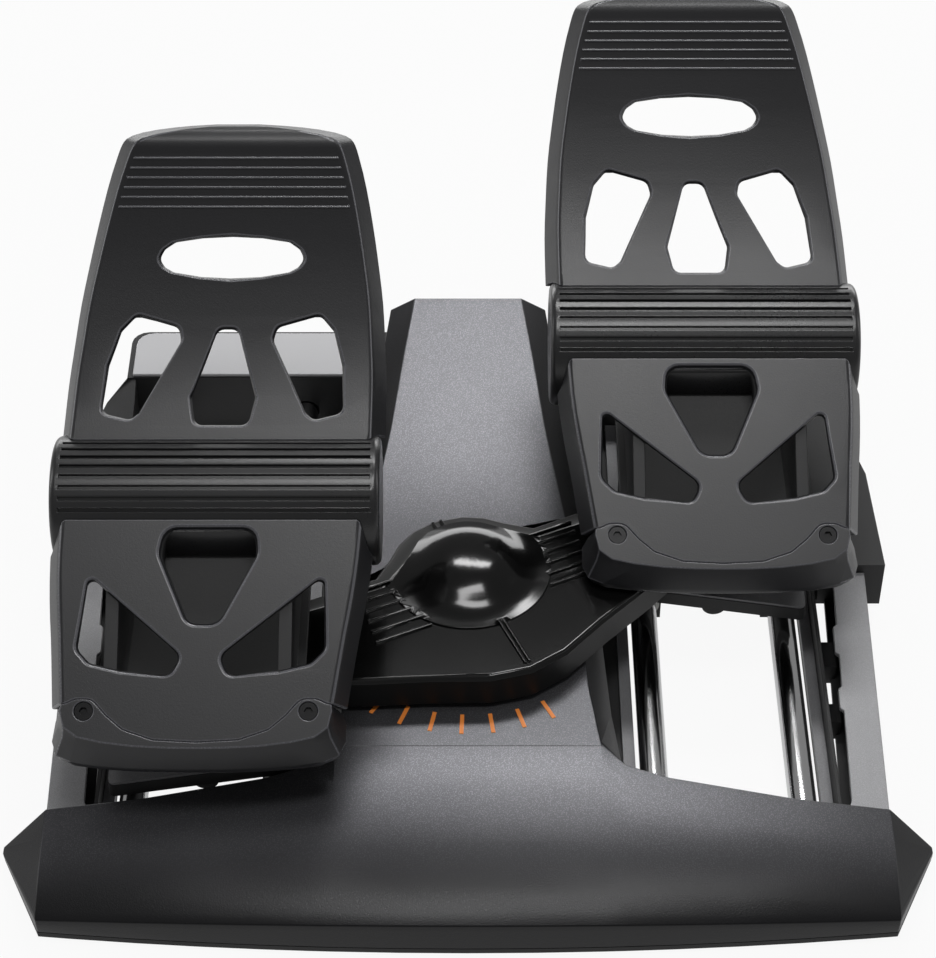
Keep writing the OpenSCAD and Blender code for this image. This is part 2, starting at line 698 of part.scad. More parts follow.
module rotor_cover() {
    outline = rotor_outline();
    skirt = drawn_in(outline, skirt_draft);
    brow = drawn_in(outline, (skirt_draft + rotor_edge) / 2);
    ledge_z = rotor_top - ledge_h;
    shoulder = 2.4;
    top = [for (p = outline) stepped(p, rotor_edge)];
    ledge = [for (i = [0 : len(outline) - 1])
        behind(outline[i]) ? stepped(outline[i], skirt_draft) : brow[i]];
    color([0.03, 0.03, 0.03]) rotated() {
        difference() {
            loft([ring_at(outline, rotor_z),
                rotor_ring(skirt, rotor_top - shoulder, ledge_z - shoulder / 2),
                rotor_ring(brow, rotor_top - shoulder / 2, ledge_z),
                rotor_ring(ledge, rotor_top - shoulder / 4, ledge_z + edge_seat / 4),
                ring_at(top, rotor_top)]);
            translate([0, 0, rotor_z - over]) linear_extrude(arm_z - rotor_z + arm_t + gap + over)
                polygon(drawn_in(outline, wall + skirt_draft));
        }
        translate([0, 0, rotor_top]) intersection() {
            rotate_extrude($fn = fine) polygon(concat([[0, -edge_seat]],
                [[dome_r * dome_shares[len(dome_shares) - 1][0], -edge_seat]],
                [for (i = [len(dome_shares) - 1 : -1 : 0])
                    [dome_r * dome_shares[i][0], dome_h * dome_shares[i][1]]]));
            translate([0, 0, -2 * edge_seat]) linear_extrude(dome_h + 3 * edge_seat)
                polygon(drawn_in(top, dome_seat));
        }
        for (side = sides, i = [0 : rotor_rib_count - 1]) {
            start = side > 0 ? rib_in + 2 * (i % 3) : -rib_in - rib_len + i;
            translate([start, rib_first + i * rib_pitch, rotor_top - edge_seat])
                cube([rib_len - i, rib_w, edge_seat + rib_h]);
        }
        for (x = [-rib_w * 1.3, rib_w * 0.3])
            translate([x, -rotor_r * 0.47, rotor_top - edge_seat])
                cube([rib_w, rotor_r * 0.21, edge_seat + rib_h]);
        for (x = [-rib_w * 2, rib_w])
            translate([x, collar_r - ledge_r, ledge_z - edge_seat])
                cube([rib_w, ledge_r * 0.7, edge_seat + rib_h]);
    }
}

arm_hub = 8;
arm_wall = 5;

module rotor_arm() {
    hub_r = shaft_r + arm_hub;
    waist = roller_r + slot_play + arm_wall;
    color([0.35, 0.35, 0.37]) rotated() translate([0, 0, arm_z]) difference() {
        union() {
            cylinder(r = hub_r, h = arm_t, $fn = fine);
            for (side = sides) linear_extrude(arm_t)
                polygon([[0, -waist], [side * (slot_out + slot_spare), -waist],
                    [side * (slot_out + slot_spare), waist], [0, waist]]);
        }
        for (side = sides) {
            x0 = side > 0 ? slot_in : -slot_out;
            translate([x0, -roller_r - slot_play, -over])
                cube([slot_out - slot_in, 2 * (roller_r + slot_play), arm_t + 2 * over]);
            for (x = [slot_in, slot_out]) translate([side * x, 0, -over])
                cylinder(r = roller_r + slot_play, h = arm_t + 2 * over, $fn = fine);
        }
        translate([0, 0, -over]) cylinder(r = shaft_r + fit, h = arm_t + 2 * over, $fn = fine);
    }
}

module rotor_shaft() {
    color([0.7, 0.7, 0.72]) rotated() difference() {
        translate([0, 0, pan_z + sensor_gap + gap])
            cylinder(r = shaft_r, h = arm_z + arm_t - pan_z - sensor_gap - gap, $fn = fine);
        translate([0, 0, pan_z])
            cylinder(r = shaft_r / 2 + fit, h = sensor_gap + gap + magnet_seat, $fn = fine);
    }
}

module rotor_magnet() {
    color([0.6, 0.6, 0.6]) rotated()
        translate([0, 0, pan_z + sensor_gap + gap])
            cylinder(r = shaft_r / 2, h = magnet_seat - fit, $fn = fine);
}

module friction_washer() {
    washer_t = arm_z - pan_z - bearing_h - 2 * fit;
    color([0.55, 0.45, 0.3]) placed() translate([0, 0, pan_z + bearing_h]) difference() {
        cylinder(r = shaft_r + bearing_wall - bearing_seat, h = washer_t, $fn = fine);
        translate([0, 0, -over]) cylinder(r = shaft_r + run, h = washer_t + 2 * over, $fn = fine);
    }
}

// Plan of a carriage about its drive pin: the front edge runs out and forward
carriage_shares = [[-1, -0.76], [1, -1], [1, 0.85], [-0.95, 0.85]];
carriage_half = 44;
carriage_front = 62;
carriage_corner = 3;
plate_margin = 0.4;

function carriage_plan(grow) = rounded([for (s = carriage_shares)
    [s.x * (carriage_half + grow), s.y * (carriage_front + grow)]], carriage_corner);

module carriage(side) {
    boss_d = 12;
    color([0.06, 0.06, 0.07]) at_pedal(side) difference() {
        union() {
            translate([0, 0, carriage_z]) linear_extrude(carriage_top - plate_t - carriage_z)
                polygon(carriage_plan(0));
            for (dx = rail_offsets, y = [-1, 1])
                translate([dx - block_half, y * bush_y - bush_len / 2, rail_z - block_half])
                    cube([2 * block_half, bush_len, carriage_z - rail_z + block_half + over / 2]);
            translate([0, -carriage_front * 0.84, carriage_z]) rotate([-90, 0, 0])
                cylinder(d = boss_d, h = carriage_front * 0.5, $fn = fine);
        }
        for (dx = rail_offsets, y = [-1, 1]) {
            translate([dx, y * bush_y - bush_len, rail_z]) rotate([-90, 0, 0])
                cylinder(r = rail_r + bush_wall + fit, h = bush_len * 2, $fn = fine);
        }
        translate([0, 0, carriage_z - over * 3]) cylinder(r = pin_r + fit, h = deck_z, $fn = fine);
    }
}

module carriage_plate(side) {
    color([0.42, 0.42, 0.44]) at_pedal(side) difference() {
        translate([0, 0, carriage_top - plate_t]) linear_extrude(plate_t)
            polygon(carriage_plan(-plate_margin));
        translate([0, 0, carriage_z]) cylinder(r = pin_r + fit, h = deck_z, $fn = fine);
    }
}

module bushings(side) {
    color([0.85, 0.83, 0.78]) at_pedal(side)
        for (dx = rail_offsets, y = [-1, 1])
            translate([dx, y * bush_y - bush_len / 2, rail_z]) rotate([-90, 0, 0]) difference() {
                cylinder(r = rail_r + bush_wall, h = bush_len, $fn = fine);
                translate([0, 0, -over]) cylinder(r = rail_r + run, h = bush_len + 2 * over, $fn = fine);
            }
}

module drive_pin(side) {
    color([0.7, 0.7, 0.72]) at_pedal(side)
        translate([0, 0, carriage_z - over])
            cylinder(r = pin_r, h = arm_z + arm_t - carriage_z + over, $fn = fine);
}

module drive_roller(side) {
    color([0.9, 0.9, 0.88]) at_pedal(side) translate([0, 0, arm_z]) difference() {
        cylinder(r = roller_r, h = arm_t - gap, $fn = fine);
        translate([0, 0, -over]) cylinder(r = pin_r + run, h = arm_t + 2 * over, $fn = fine);
    }
}

// Points of the pedal's face: across, along and out of it
function lower_point(t, l, n) = [t - lean_share * l,
    -heel_reach + l * cos(lower_slope) - n * sin(lower_slope),
    heel_z + l * sin(lower_slope) + n * cos(lower_slope)];
function upper_slope(s) = foot_slope + s / upper_r * 180 / PI;
function upper_point(t, s, n) = let (e = upper_slope(s)) [t - lean_share * (upper_l + s),
    foot_y + upper_r * (sin(e) - sin(foot_slope)) - n * sin(e),
    foot_z + upper_r * (cos(foot_slope) - cos(e)) + n * cos(e)];

// Channel section of a pedal: drafted flanges under a flat face
edge_in = 1.2;
edge_mid = 0.7;
edge_out = 1.8;
edge_h = 2.8;
edge_low = 0.8;
core_in = 2.4;
core_out = 1.2;
core_h = 0.8;
function channel(half, drop, depth) =
    [[half, -depth], [-half, -depth], [-half + draft - edge_out, -drop - edge_h],
     [-half + draft - edge_mid, -drop - edge_low], [-half + draft + edge_in, -drop],
     [half - draft - edge_in, -drop], [half - draft + edge_mid, -drop - edge_low],
     [half - draft + edge_out, -drop - edge_h]];
function channel_core(half, drop, depth) =
    [[half - wall, -depth - over], [-half + wall, -depth - over],
     [-half + draft + core_out, -drop - wall - core_h], [-half + draft + core_in, -drop - wall],
     [half - draft - core_in, -drop - wall], [half - draft - core_out, -drop - wall - core_h]];

lower_stations_shares = [-0.2, -0.1, for (i = [0 : 10]) i * 0.1, 1.02];
function lower_half(share) = pedal_half * steady(share, lower_width_shares);
flange_step = 2;
lower_depth = flange - flange_step;

module lower_body() {
    loft([for (s = lower_stations_shares)
        [for (p = channel(lower_half(s), 0, lower_depth)) lower_point(p.x, s * lower_len, p.y)]]);
}

module lower_core() {
    loft([for (s = concat([-0.4], [for (i = [2 : 13]) lower_stations_shares[i]], [1.3]))
        [for (p = channel_core(lower_half(s), 0, lower_depth)) lower_point(p.x, s * lower_len, p.y)]]);
}

// Opening through a plate: its lip follows the face and spreads towards it
lip_spread_shares = [[0.3, 1], [-0.3, 0.55], [-1, 0.15], [-1.6, 0]];
lip_depth = 2;
lip_spread = 2.2;
function turned(points) = let (n = len(points))
    let (area = [for (i = [0 : n - 1]) cross(points[i], points[(i + 1) % n])] * [for (i = [1 : n]) 1])
    area > 0 ? points : [for (i = [n - 1 : -1 : 0]) points[i]];
function centre(points) = [for (i = [1 : len(points)]) 1] * points / len(points);
function grown(points, g) = let (c = centre(points)) [for (p = points) p + unit(p - c) * g];

function lower_flat(p, c, n) = lower_point(p.x, p.y, n);
function upper_flat(p, c, n) = let (e = upper_slope(c))
    upper_point(p.x - lean_share * (p.y - c), c, n) + (p.y - c) * [0, cos(e), sin(e)];

module opening(outline, upper) {
    points = turned(outline);
    c = centre(points).y;
    depth = flange * 1.6;
    wide = grown(points, lip_spread);
    loft(concat([[for (p = points) upper ? upper_flat(p, c, -depth) : lower_flat(p, c, -depth)]],
        [for (i = [len(lip_spread_shares) - 1 : -1 : 0]) let (s = lip_spread_shares[i])
            [for (p = grown(points, lip_spread * s[1]))
                upper ? upper_point(p.x, p.y, s[0] * lip_depth) : lower_point(p.x, p.y, s[0] * lip_depth)]],
        [[for (p = wide) upper ? upper_flat(p, c, flange) : lower_flat(p, c, flange)]]));
}

function scaled(shares, w, l) = [for (s = shares) [s.x * w, s.y * l]];
lower_slot_shares = [[0.12, 0.281], [0.183, 0.18], [0.477, 0.213], [0.649, 0.247], [0.728, 0.315],
    [0.702, 0.652], [0.662, 0.663]];
lower_hole_shares = [[-0.265, 0.933], [0.265, 0.933], [0.285, 0.8], [0.09, 0.449], [-0.09, 0.449],
    [-0.285, 0.8]];
slot_shares = [[0.563, 0.402], [0.305, 0.364], [0.288, 0.322], [0.51, 0.094], [0.56, 0.072],
    [0.735, 0.094], [0.71, 0.243], [0.65, 0.351]];
middle_shares = [[-0.06, 0.358], [0.06, 0.358], [0.19, 0.143], [0.16, 0.055], [-0.16, 0.055],
    [-0.19, 0.143]];
oval_shares = [[-0.44, 0.583], [-0.405, 0.558], [-0.35, 0.5425], [-0.18, 0.5285], [0, 0.525],
    [0.18, 0.5285], [0.35, 0.5425], [0.405, 0.558], [0.44, 0.583], [0.41, 0.613], [0.345, 0.6355],
    [0.18, 0.6475], [0, 0.651], [-0.18, 0.6475], [-0.345, 0.6355], [-0.41, 0.613]];

hole_corner = 7;
slot_corner = 5;
toe_corner = 4;

module lower_openings() {
    hole = scaled(lower_hole_shares, pedal_half, lower_len);
    slot = scaled(lower_slot_shares, pedal_half, lower_len);
    opening(rounded(hole, hole_corner), false);
    opening(rounded(slot, slot_corner), false);
    opening(rounded(mirrored(slot), slot_corner), false);
}

// Seam between the lower plate and the heel rest: two lobes round the screws, a bow between
seam_dip = 14;
seam_corner = 6;
seam_shares = [[1.17, 0.22], [1.08, 0.38], [0.93, 0.38], [0.8, -0.15], [0.65, -0.6], [0.38, -0.93],
    [0, -1]];
function seam_outline() = let (half = scaled(seam_shares, heel_span / 2, seam_dip))
    concat([[pedal_half * 1.3, half[0].y]], half,
        [for (i = [len(half) - 2 : -1 : 0]) [-half[i].x, half[i].y]],
        [[-pedal_half * 1.3, half[0].y]]);

module seam_prism(lift) {
    back = lower_len * 1.3;
    translate(lower_point(0, lift, -flange * 2)) rotate([lower_slope, 0, 0])
        linear_extrude(flange * 2 + over)
            polygon(rounded(concat(seam_outline(),
                [[-pedal_half * 1.3, back], [pedal_half * 1.3, back]]), seam_corner));
}

module barrel_space(grow) {
    translate([-pedal_w, hinge_y, hinge_z]) rotate([0, 90, 0])
        cylinder(r = barrel_r + grow, h = 2 * pedal_w, $fn = fine);
}

module lower_pedal(side) {
    color([0.15, 0.15, 0.17]) at_pedal(side) difference() {
        intersection() {
            difference() {
                lower_body();
                lower_core();
            }
            seam_prism(fit);
        }
        lower_openings();
        barrel_space(gap);
        translate([-pedal_w, -heel_reach - pedal_w / 2, 0]) cube([2 * pedal_w, pedal_w, support_z + fit]);
    }
}

// Heel rest: a hollow block with a flared wall, cut to the plate's plane
heel_shares = [[0.768, 0.95], [0.772, 0], [0.742, -0.39], [0.662, -0.68], [0.523, -0.835], [0.344, -0.945],
    [0.159, -0.99], [0, -1]];
heel_ahead = 12.7;
heel_side_flare = 8;
heel_front_flare = 3;
heel_round = 4;
heel_top_t = 6;
heel_spread = 1.3;

// Plan of the heel rest: spread is the share of the flare, inset draws the whole outline in
function heel_plan(spread, inset) = let (right = [for (s = heel_shares)
    [max(s.x * (pedal_half + (heel_side_flare * spread - inset) * heel_spread), 0),
     -heel_reach + s.y * heel_ahead - (heel_front_flare * spread - inset) * (s.y < 0 ? 1 : 0)]])
    concat([for (i = [len(right) - 1 : -1 : 0]) right[i]],
        [for (i = [0 : len(right) - 2]) [-right[i].x, right[i].y]]);

module above_plate(n) {
    translate(lower_point(0, 0, n)) rotate([lower_slope, 0, 0])
        translate([-pedal_w, -pedal_w, 0]) cube([2 * pedal_w, 2 * pedal_w, pedal_w]);
}

module heel_block(inset) {
    low = heel_floor - inset;
    high = heel_z + seam_dip;
    loft([ring_at(heel_plan(0.7, inset), low), ring_at(heel_plan(1, inset), low + heel_round),
        ring_at(heel_plan(0.5, inset), (low + heel_round + heel_z) / 2),
        ring_at(heel_plan(0, inset), high)]);
}

module heel_rest(side) {
    color([0.12, 0.12, 0.13]) at_pedal(side) difference() {
        heel_block(0);
        above_plate(0);
        seam_prism(0);
        difference() {
            heel_block(wall);
            above_plate(-heel_top_t);
        }
        heel_bores(heel_screw_r + fit, heel_head_r + head_play);
    }
}

heel_screw_r = 2.4;
heel_head_r = 4;
heel_head_h = 3;
heel_sink = 0.8;
heel_screw_len = 12;
head_play = 0.3;

module heel_bores(shank, head) {
    for (x = [-1, 1]) translate(lower_point(x * heel_span / 2, 0, 0)) rotate([lower_slope, 0, 0]) {
        translate([0, 0, -heel_sink - heel_head_h])
            cylinder(r = head, h = heel_head_h + heel_sink + over, $fn = plain);
        translate([0, 0, -heel_sink - heel_head_h - heel_screw_len - fit])
            cylinder(r = shank, h = heel_screw_len + over, $fn = plain);
    }
}

module heel_screws(side) {
    color([0.03, 0.03, 0.03]) at_pedal(side)
        for (x = [-1, 1]) translate(lower_point(x * heel_span / 2, 0, 0))
            rotate([lower_slope, 0, 0]) difference() {
            union() {
                translate([0, 0, -heel_sink - heel_head_h + fit])
                    cylinder(r = heel_head_r, h = heel_head_h, $fn = plain);
                translate([0, 0, -heel_sink - heel_head_h - heel_screw_len + fit])
                    cylinder(r = heel_screw_r, h = heel_screw_len + over, $fn = plain);
            }
            translate([0, 0, -heel_sink - heel_head_h / 2])
                cylinder(r = heel_head_r * 0.5, h = heel_head_h, $fn = 6);
        }
}

// Support of a pedal: foot on the carriage outside the rotor's sweep, web, deck and two hinge ears
support_web_x = 28;
support_t = 6;
support_in = -46;
support_out = 46;
ear_x = 39;
ear_t = 6;
ear_r = 12;
ear_dip = 9;
support_front = -46;
support_rear = 46;
deck_t = 4;

heel_pad_w = 18;
heel_pad_over = 6;
heel_pad_out = heel_span / 2 + heel_pad_over;
heel_pad_in = heel_pad_out - heel_pad_w;
heel_pad_front = 65;
heel_boss_r = 5;

module across(x, t) {
    translate([x, 0, 0]) rotate([90, 0, 90]) linear_extrude(t) children();
}

// Height of the lower plate's underside at a place along the pedal
function underside(y) = let (n = -wall - fit)
    heel_z + (y + heel_reach + n * sin(lower_slope)) * tan(lower_slope) + n * cos(lower_slope);

module pedal_support(side) {
    rise_y = hinge_y - barrel_r - ear_t;
    color([0.07, 0.07, 0.08]) at_pedal(side) difference() {
        union() {
            translate([support_web_x, support_front, carriage_top])
                cube([carriage_half - support_web_x - over, support_rear - support_front, deck_t]);
            translate([support_web_x, support_front, carriage_top])
                cube([support_t, support_rear - support_front, support_z + deck_t - carriage_top]);
            translate([support_in, support_front, support_z])
                cube([support_out - support_in, support_rear - support_front, deck_t]);
            for (x = [-heel_pad_out, heel_pad_in]) translate([x, -heel_pad_front, support_z])
                cube([heel_pad_w, heel_pad_front + support_front + deck_t * 2, deck_t]);
            for (x = [-ear_x - ear_t / 2, ear_x - ear_t / 2]) {
                across(x, ear_t) polygon([[support_front, support_z], [support_rear, support_z],
                    [hinge_y + ear_r, hinge_z], [hinge_y - ear_r, hinge_z],
                    [hinge_y - ear_r, hinge_z - ear_dip],
                    [rise_y, hinge_z - ear_dip], [rise_y, underside(rise_y)],
                    [support_front, underside(support_front)]]);
                translate([x, hinge_y, hinge_z]) rotate([0, 90, 0])
                    cylinder(r = ear_r, h = ear_t, $fn = fine);
            }
            for (x = [-1, 1]) intersection() {
                translate(lower_point(x * heel_span / 2, 0, -flange * 2)) rotate([lower_slope, 0, 0])
                    cylinder(r = heel_boss_r, h = flange * 2 - heel_top_t - fit, $fn = fine);
                translate([-pedal_w, -pedal_w, support_z]) cube([2 * pedal_w, 2 * pedal_w, pedal_w]);
            }
        }
        translate([-pedal_w, hinge_y, hinge_z]) rotate([0, 90, 0])
            cylinder(r = hinge_r + fit, h = 2 * pedal_w, $fn = fine);
        heel_bores(heel_screw_r + fit, heel_head_r);
    }
}

module hinge_shaft(side) {
    color([0.65, 0.65, 0.67]) at_pedal(side)
        translate([-hinge_half - lean_share * hinge_l, hinge_y, hinge_z]) rotate([0, 90, 0])
            cylinder(r = hinge_r, h = 2 * hinge_half, $fn = fine);
}

module toe_spring(side) {
    coil_r = 9;
    coil_len = 40;
    color([0.5, 0.5, 0.52]) at_pedal(side)
        translate([-coil_len / 2, hinge_y, hinge_z]) rotate([0, 90, 0]) difference() {
            cylinder(r = coil_r, h = coil_len, $fn = fine);
            translate([0, 0, -over]) cylinder(r = hinge_r + fit, h = coil_len + 2 * over, $fn = fine);
        }
}

module toe_sensor(side) {
    box = 9;
    color([0.1, 0.1, 0.12]) at_pedal(side)
        translate([ear_x - ear_t / 2 - box - fit, hinge_y + ear_r - box, hinge_z - ear_r - box])
            cube([box, box, box]);
}

// Upper pedal: shell with a leaning, narrowing face and a turned-over top edge
upper_stations_shares = [-0.06, for (i = [0 : 18]) i * 0.05, 0.92, 0.935, 0.945, 0.955, 0.965, 0.975,
    0.984, 0.991, 0.996, 1];
core_stations_shares = [-0.2, for (i = [0 : 18]) i * 0.05, 0.92, 0.94, 0.955, 0.966];
function upper_half(share) = pedal_half * steady(share, upper_width_shares);
function upper_drop(share) = flange * lookup(share, upper_drop_shares);
function upper_depth(share) = flange * lookup(share, upper_depth_shares);

top_half = 10;
core_drop = 1.2;
core_drop_share = 0.95;

module upper_body() {
    loft([for (s = upper_stations_shares)
        [for (p = channel(max(upper_half(s), top_half), upper_drop(s), upper_depth(s)))
            upper_point(p.x, s * upper_len, p.y)]]);
}

module upper_core() {
    loft([for (s = core_stations_shares)
        [for (p = channel_core(upper_half(s),
            upper_drop(s) + (s > core_drop_share ? core_drop : 0), upper_depth(s)))
            upper_point(p.x, s * upper_len, p.y)]]);
}

module upper_openings() {
    slot = scaled(slot_shares, pedal_half, upper_len);
    middle = scaled(middle_shares, pedal_half, upper_len);
    oval = scaled(oval_shares, pedal_half, upper_len);
    for (outline = [slot, mirrored(slot), middle, oval]) opening(rounded(outline, toe_corner), true);
}

rib_count = 6;
rib_first_share = 0.748;
rib_last_share = 0.902;
toe_rib_w = 1.2;
toe_rib_h = 0.7;

module toe_ribs() {
    for (i = [0 : rib_count - 1]) {
        share = rib_first_share + (rib_last_share - rib_first_share) * i / (rib_count - 1);
        half = upper_half(share) - draft - 2;
        translate(upper_point(0, share * upper_len, -toe_rib_h))
            rotate([upper_slope(share * upper_len), 0, 0])
            translate([-half, -toe_rib_w / 2, 0]) cube([2 * half, toe_rib_w, 2 * toe_rib_h]);
    }
}

module upper_pedal(side) {
    color([0.14, 0.14, 0.16]) at_pedal(side) {
        difference() {
            upper_body();
            upper_core();
            upper_openings();
            barrel_space(fit);
        }
        toe_ribs();
    }
}

// Hinge barrel: ribbed sleeve, open below, with closed ends that run on the hinge shaft
barrel_in = 0.5;
barrel_half = pedal_half - barrel_in;
barrel_rib_in = 4.5;
barrel_rib_half = barrel_half - barrel_rib_in;
barrel_wall = 3;
barrel_end = 6;
barrel_edge = 3;
groove_count = 8;
groove_first_angle = 36;
groove_angle = 10;
groove_w = 1.7;
groove_d = 1.3;
open_first_angle = 12;
open_angle = 31;
open_last_angle = 136;
cap_r = 14.3;
cap_t = 2.5;
shaft_room = 1.5;
hinge_half = barrel_half - cap_t - shaft_room;

function barrel_profile() = concat([[hinge_r + run, -barrel_half], [barrel_r - barrel_edge, -barrel_half]],
    [for (a = [15 : 15 : 90]) [barrel_r - barrel_edge + barrel_edge * sin(a),
        -barrel_half + barrel_edge - barrel_edge * cos(a)]],
    [for (a = [90 : 15 : 165]) [barrel_r - barrel_edge + barrel_edge * sin(a),
        barrel_half - barrel_edge - barrel_edge * cos(a)]],
    [[barrel_r - barrel_edge, barrel_half], [hinge_r + run, barrel_half]]);

module at_hinge() {
    translate([-lean_share * hinge_l, hinge_y, hinge_z]) rotate([0, 90, 0]) children();
}

module hinge_barrel(side) {
    sleeve = barrel_r - barrel_wall;
    color([0.05, 0.05, 0.05]) at_pedal(side) at_hinge() difference() {
        rotate_extrude($fn = fine) polygon(barrel_profile());
        translate([0, 0, -barrel_half + barrel_end + cap_t])
            cylinder(r = sleeve, h = 2 * (barrel_half - barrel_end - cap_t), $fn = fine);
        for (z = [-barrel_half - over, barrel_half - cap_t])
            translate([0, 0, z]) cylinder(r = cap_r + fit, h = cap_t + over, $fn = fine);
        translate([0, 0, -barrel_half + barrel_end + cap_t])
            linear_extrude(2 * (barrel_half - barrel_end - cap_t))
            polygon([[0, 0], each [for (a = [open_first_angle : open_angle : open_last_angle])
                2 * barrel_r * [sin(a), -cos(a)]]]);
        for (i = [0 : groove_count - 1]) rotate([0, 0, 180 - groove_first_angle - i * groove_angle])
            translate([-groove_w / 2, barrel_r - groove_d, -barrel_rib_half])
                cube([groove_w, groove_d + over, 2 * barrel_rib_half]);
    }
}

module hinge_caps(side) {
    color([0.1, 0.1, 0.1]) at_pedal(side) at_hinge()
        for (z = [-barrel_half, barrel_half - cap_t + fit])
            translate([0, 0, z]) cylinder(r = cap_r, h = cap_t - fit, $fn = fine);
}

top_cover();
base_pan();
rail_trays();
side_rail(right_side);  // side_rail_right
side_rail(left_side);  // side_rail_left
side_panel(right_side);  // side_panel_right
side_panel(left_side);  // side_panel_left
rear_housing();
rear_panel(right_side);  // rear_panel_right
rear_panel(left_side);  // rear_panel_left
rail(right_side, -rail_pitch / 2);  // rail_right_inner
rail(right_side, rail_pitch / 2);  // rail_right_outer
rail(left_side, -rail_pitch / 2);  // rail_left_inner
rail(left_side, rail_pitch / 2);  // rail_left_outer
rail_blocks(-rail_front);  // rail_blocks_front
rail_blocks(rail_rear - block_len);  // rail_blocks_rear
rubber_feet();
base_screws();
control_board();
cable_gland();
rudder_sensor();
rotor_bearing();
tick_marks();
rotor_cover();
rotor_arm();
rotor_shaft();
friction_washer();
rotor_magnet();
carriage(right_side);  // carriage_right
carriage_plate(right_side);  // carriage_plate_right
bushings(right_side);  // bushings_right
drive_pin(right_side);  // drive_pin_right
drive_roller(right_side);  // drive_roller_right
pedal_support(right_side);  // pedal_support_right
lower_pedal(right_side);  // lower_pedal_right
heel_rest(right_side);  // heel_rest_right
heel_screws(right_side);  // heel_screws_right
hinge_shaft(right_side);  // hinge_shaft_right
toe_spring(right_side);  // toe_spring_right
toe_sensor(right_side);  // toe_sensor_right
upper_pedal(right_side);  // upper_pedal_right
hinge_barrel(right_side);  // hinge_barrel_right
hinge_caps(right_side);  // hinge_caps_right
carriage(left_side);  // carriage_left
carriage_plate(left_side);  // carriage_plate_left
bushings(left_side);  // bushings_left
drive_pin(left_side);  // drive_pin_left
drive_roller(left_side);  // drive_roller_left
pedal_support(left_side);  // pedal_support_left
lower_pedal(left_side);  // lower_pedal_left
heel_rest(left_side);  // heel_rest_left
heel_screws(left_side);  // heel_screws_left
hinge_shaft(left_side);  // hinge_shaft_left
toe_spring(left_side);  // toe_spring_left
toe_sensor(left_side);  // toe_sensor_left
upper_pedal(left_side);  // upper_pedal_left
hinge_barrel(left_side);  // hinge_barrel_left
hinge_caps(left_side);  // hinge_caps_left
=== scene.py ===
"""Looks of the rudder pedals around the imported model."""

import json
import math

import bmesh
import bpy
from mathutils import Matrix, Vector


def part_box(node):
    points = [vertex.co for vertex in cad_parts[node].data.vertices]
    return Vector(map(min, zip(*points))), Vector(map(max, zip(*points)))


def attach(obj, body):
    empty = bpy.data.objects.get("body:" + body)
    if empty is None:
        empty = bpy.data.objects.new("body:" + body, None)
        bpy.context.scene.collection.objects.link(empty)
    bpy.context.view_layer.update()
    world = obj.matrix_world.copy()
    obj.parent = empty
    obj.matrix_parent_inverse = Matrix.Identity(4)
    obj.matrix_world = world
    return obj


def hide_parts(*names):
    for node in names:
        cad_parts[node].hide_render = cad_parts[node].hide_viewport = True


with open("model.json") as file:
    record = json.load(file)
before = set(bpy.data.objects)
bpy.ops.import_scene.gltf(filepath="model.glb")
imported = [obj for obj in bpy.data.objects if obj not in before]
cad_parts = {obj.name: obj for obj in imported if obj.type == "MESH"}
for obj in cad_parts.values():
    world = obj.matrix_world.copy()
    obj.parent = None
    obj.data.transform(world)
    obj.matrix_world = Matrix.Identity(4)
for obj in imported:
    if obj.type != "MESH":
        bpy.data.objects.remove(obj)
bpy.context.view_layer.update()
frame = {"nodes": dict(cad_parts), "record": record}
nodes = frame["nodes"]
record = frame["record"]
slot_of = {part["node"]: part["material_slot"] for part in record["subparts"]}
body_of = {node: body for body, names in record["behaviour"]["bodies"].items() for node in names}
scene = bpy.context.scene

SIDES = ("right", "left")
WHITE = (1, 1, 1, 1)

# lengths in metres
MERGE_WITHIN = 0.000003          # vertices of a CAD node's loose triangles that are one corner
FLAT_WITHIN = math.radians(0.6)  # triangles of one flat face
EDGE_FROM = math.radians(28)     # outer edges steeper than this are rounded
EDGE_STEPS = 2
NODE_SHARP = math.radians(30)    # CAD nodes and the cups shade smoothly below this angle
PIECE_SHARP = math.radians(50)   # the same for the rounded pieces

CORNER_LENGTH = (0.003, 0.012)  # an edge through a pedal's plate, at a corner of an opening
CORNER_ANGLE = (math.radians(8), math.radians(80))
CORNER_FACING = 0.75            # how far the plate's faces look along such an edge
CORNER_SHARE = 42               # percent of the way to the next corner
CORNER_STEPS = 3

STEP_AT = -0.11277              # y where the deck meets the front lip
STEP_HEIGHTS = (0.0408, 0.041)

CUP_HALF_WIDTH = 0.024          # around the top opening of a lower pedal plate
CUP_HEIGHTS = (0.0065, 0.053)   # above the plate's middle
CUP_RIM = (-0.0027, -0.0023)    # the plate's back face, from its front
CUP_DEPTH = 0.016
CUP_WALL = 0.0012
CUP_FLAT = math.radians(2)


# ---------------------------------------------------------------- camera, floor and lamps

def set_camera():
    lens = bpy.data.cameras.new("Camera")
    lens.lens = 97.7
    lens.sensor_width = 36
    lens.clip_end = 20
    camera = bpy.data.objects.new("Camera", lens)
    camera.location = (0, -0.8914, 0.9645)
    camera.rotation_euler = (math.radians(46), 0, 0)
    scene.collection.objects.link(camera)
    scene.camera = camera


def softbox(name, place, aim, width, depth, power):
    """A soft lamp at place that looks at aim"""
    lamp = bpy.data.lights.new(name, "AREA")
    lamp.shape = "RECTANGLE"
    lamp.size = width
    lamp.size_y = depth
    lamp.energy = power
    holder = bpy.data.objects.new(name, lamp)
    holder.location = place
    holder.rotation_euler = (Vector(aim) - Vector(place)).to_track_quat("-Z", "Y").to_euler()
    scene.collection.objects.link(holder)


